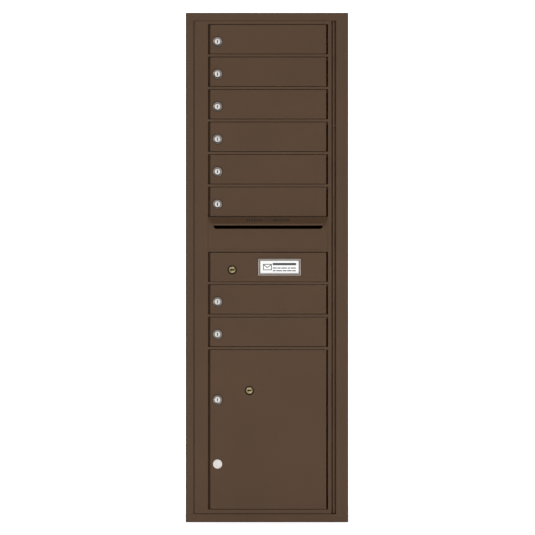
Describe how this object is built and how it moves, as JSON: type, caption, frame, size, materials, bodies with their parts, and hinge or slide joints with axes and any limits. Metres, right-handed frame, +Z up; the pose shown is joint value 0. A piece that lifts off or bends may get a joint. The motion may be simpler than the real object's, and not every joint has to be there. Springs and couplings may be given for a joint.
{
  "type": "recessed apartment mailbox unit",
  "caption": "Recessed wall mailbox column with lockable letter doors, an outgoing-mail slot and a parcel locker behind one hinged master door.",
  "frame": {"origin": "middle of the cabinet's underside", "axes": "+Z up, -Y out of the wall towards the person using it, +X to that person's right; the wall's surface is at y = -0.2032"},
  "size_m": [0.4444, 0.4307, 1.393],
  "materials": {
    "bronze_powder_coat": "fine-textured satin powder coat, dark bronze",
    "mill_aluminium": "mill finish sheet",
    "nickel_plate": "satin nickel plate",
    "lock_brass": "worn turned brass",
    "zinc_steel": "zinc-plated steel",
    "lock_case_steel": "dark lacquered steel",
    "silver_frame": "silver lacquer",
    "label_card": "matt white card with plain grey rules"
  },
  "bodies": {
    "cabinet": {"cabinet_left_side": "mill_aluminium", "cabinet_right_side": "mill_aluminium", "cabinet_top": "mill_aluminium", "cabinet_bottom": "mill_aluminium", "cabinet_back": "mill_aluminium", "shelf_1": "mill_aluminium", "shelf_2": "mill_aluminium", "shelf_3": "mill_aluminium", "shelf_4": "mill_aluminium", "shelf_5": "mill_aluminium", "shelf_6": "mill_aluminium", "shelf_7": "mill_aluminium", "shelf_8": "mill_aluminium", "shelf_9": "mill_aluminium", "trim_frame": "bronze_powder_coat", "master_hinge_cabinet_leaf": "bronze_powder_coat", "master_hinge_pin": "zinc_steel", "master_bolt_keeper": "zinc_steel"},
    "master_door": {"master_door_frame": "bronze_powder_coat", "door_hinge_rod": "lock_case_steel", "outgoing_slot_panel": "bronze_powder_coat", "outgoing_slot_hood": "bronze_powder_coat", "arrow_lock_panel": "bronze_powder_coat", "label_frame": "silver_frame", "label_card": "label_card", "master_hinge_door_leaf": "bronze_powder_coat", "master_arrow_lock_case": "lock_case_steel"},
    "master_arrow_plug": {"master_arrow_lock_plug": "lock_brass"},
    "master_bolt": {"master_arrow_lock_bolt": "zinc_steel"},
    "parcel_door": {"parcel_door": "bronze_powder_coat", "parcel_lock_body": "nickel_plate", "parcel_arrow_lock_case": "lock_case_steel", "parcel_blank_plug": "nickel_plate"},
    "parcel_key_plug": {"parcel_lock_plug": "nickel_plate"},
    "parcel_arrow_plug": {"parcel_arrow_lock_plug": "lock_brass"},
    "parcel_bolt": {"parcel_arrow_lock_bolt": "zinc_steel"},
    "letter_door_1": {"letter_door_1": "bronze_powder_coat", "letter_lock_body_1": "nickel_plate"},
    "letter_key_plug_1": {"letter_lock_plug_1": "nickel_plate"},
    "letter_door_2": {"letter_door_2": "bronze_powder_coat", "letter_lock_body_2": "nickel_plate"},
    "letter_key_plug_2": {"letter_lock_plug_2": "nickel_plate"},
    "letter_door_3": {"letter_door_3": "bronze_powder_coat", "letter_lock_body_3": "nickel_plate"},
    "letter_key_plug_3": {"letter_lock_plug_3": "nickel_plate"},
    "letter_door_4": {"letter_door_4": "bronze_powder_coat", "letter_lock_body_4": "nickel_plate"},
    "letter_key_plug_4": {"letter_lock_plug_4": "nickel_plate"},
    "letter_door_5": {"letter_door_5": "bronze_powder_coat", "letter_lock_body_5": "nickel_plate"},
    "letter_key_plug_5": {"letter_lock_plug_5": "nickel_plate"},
    "letter_door_6": {"letter_door_6": "bronze_powder_coat", "letter_lock_body_6": "nickel_plate"},
    "letter_key_plug_6": {"letter_lock_plug_6": "nickel_plate"},
    "letter_door_7": {"letter_door_7": "bronze_powder_coat", "letter_lock_body_7": "nickel_plate"},
    "letter_key_plug_7": {"letter_lock_plug_7": "nickel_plate"},
    "letter_door_8": {"letter_door_8": "bronze_powder_coat", "letter_lock_body_8": "nickel_plate"},
    "letter_key_plug_8": {"letter_lock_plug_8": "nickel_plate"}
  },
  "joints": [
    {"name": "master_door_swing", "type": "hinge", "parent": "cabinet", "child": "master_door", "pos_m": [0.1825, -0.20945, 0.6805], "axis": [0, 0, 1], "range_deg": [0, 90]},
    {"name": "master_arrow_lock_turn", "type": "hinge", "parent": "master_door", "child": "master_arrow_plug", "pos_m": [-0.0951, -0.2117, 0.6741], "axis": [0, 1, 0], "range_deg": [0, 90]},
    {"name": "master_bolt_slide", "type": "slide", "parent": "master_door", "child": "master_bolt", "axis": [-1, 0, 0], "range_m": [0, 0.011]},
    {"name": "letter_door_1_swing", "type": "hinge", "parent": "master_door", "child": "letter_door_1", "pos_m": [0.1574, -0.2082, 1.30465], "axis": [0, 0, 1], "range_deg": [0, 90]},
    {"name": "letter_lock_1_turn", "type": "hinge", "parent": "letter_door_1", "child": "letter_key_plug_1", "pos_m": [-0.1353, -0.2154, 1.29805], "axis": [0, 1, 0], "range_deg": [0, 90]},
    {"name": "letter_door_2_swing", "type": "hinge", "parent": "master_door", "child": "letter_door_2", "pos_m": [0.1574, -0.2082, 1.21575], "axis": [0, 0, 1], "range_deg": [0, 90]},
    {"name": "letter_lock_2_turn", "type": "hinge", "parent": "letter_door_2", "child": "letter_key_plug_2", "pos_m": [-0.1353, -0.2154, 1.20915], "axis": [0, 1, 0], "range_deg": [0, 90]},
    {"name": "letter_door_3_swing", "type": "hinge", "parent": "master_door", "child": "letter_door_3", "pos_m": [0.1574, -0.2082, 1.12685], "axis": [0, 0, 1], "range_deg": [0, 90]},
    {"name": "letter_lock_3_turn", "type": "hinge", "parent": "letter_door_3", "child": "letter_key_plug_3", "pos_m": [-0.1353, -0.2154, 1.12025], "axis": [0, 1, 0], "range_deg": [0, 90]},
    {"name": "letter_door_4_swing", "type": "hinge", "parent": "master_door", "child": "letter_door_4", "pos_m": [0.1574, -0.2082, 1.03795], "axis": [0, 0, 1], "range_deg": [0, 90]},
    {"name": "letter_lock_4_turn", "type": "hinge", "parent": "letter_door_4", "child": "letter_key_plug_4", "pos_m": [-0.1353, -0.2154, 1.03135], "axis": [0, 1, 0], "range_deg": [0, 90]},
    {"name": "letter_door_5_swing", "type": "hinge", "parent": "master_door", "child": "letter_door_5", "pos_m": [0.1574, -0.2082, 0.94905], "axis": [0, 0, 1], "range_deg": [0, 90]},
    {"name": "letter_lock_5_turn", "type": "hinge", "parent": "letter_door_5", "child": "letter_key_plug_5", "pos_m": [-0.1353, -0.2154, 0.94245], "axis": [0, 1, 0], "range_deg": [0, 90]},
    {"name": "letter_door_6_swing", "type": "hinge", "parent": "master_door", "child": "letter_door_6", "pos_m": [0.1574, -0.2082, 0.86015], "axis": [0, 0, 1], "range_deg": [0, 90]},
    {"name": "letter_lock_6_turn", "type": "hinge", "parent": "letter_door_6", "child": "letter_key_plug_6", "pos_m": [-0.1353, -0.2154, 0.85355], "axis": [0, 1, 0], "range_deg": [0, 90]},
    {"name": "letter_door_7_swing", "type": "hinge", "parent": "master_door", "child": "letter_door_7", "pos_m": [0.1574, -0.2082, 0.59345], "axis": [0, 0, 1], "range_deg": [0, 90]},
    {"name": "letter_lock_7_turn", "type": "hinge", "parent": "letter_door_7", "child": "letter_key_plug_7", "pos_m": [-0.1353, -0.2154, 0.58685], "axis": [0, 1, 0], "range_deg": [0, 90]},
    {"name": "letter_door_8_swing", "type": "hinge", "parent": "master_door", "child": "letter_door_8", "pos_m": [0.1574, -0.2082, 0.50455], "axis": [0, 0, 1], "range_deg": [0, 90]},
    {"name": "letter_lock_8_turn", "type": "hinge", "parent": "letter_door_8", "child": "letter_key_plug_8", "pos_m": [-0.1353, -0.2154, 0.49795], "axis": [0, 1, 0], "range_deg": [0, 90]},
    {"name": "parcel_door_swing", "type": "hinge", "parent": "master_door", "child": "parcel_door", "pos_m": [0.1574, -0.2082, 0.23785], "axis": [0, 0, 1], "range_deg": [0, 90]},
    {"name": "parcel_lock_turn", "type": "hinge", "parent": "parcel_door", "child": "parcel_key_plug", "pos_m": [-0.1353, -0.2154, 0.3188], "axis": [0, 1, 0], "range_deg": [0, 90]},
    {"name": "parcel_arrow_lock_turn", "type": "hinge", "parent": "parcel_door", "child": "parcel_arrow_plug", "pos_m": [-0.0481, -0.2117, 0.3442], "axis": [0, 1, 0], "range_deg": [0, 90]},
    {"name": "parcel_bolt_slide", "type": "slide", "parent": "parcel_door", "child": "parcel_bolt", "axis": [-1, 0, 0], "range_m": [0, 0.011]}
  ],
  "couplings": [
    {"joint": "master_arrow_lock_turn", "follows": "master_bolt_slide", "rad_per_m": 142.8},
    {"joint": "parcel_arrow_lock_turn", "follows": "parcel_bolt_slide", "rad_per_m": 142.8}
  ]
}
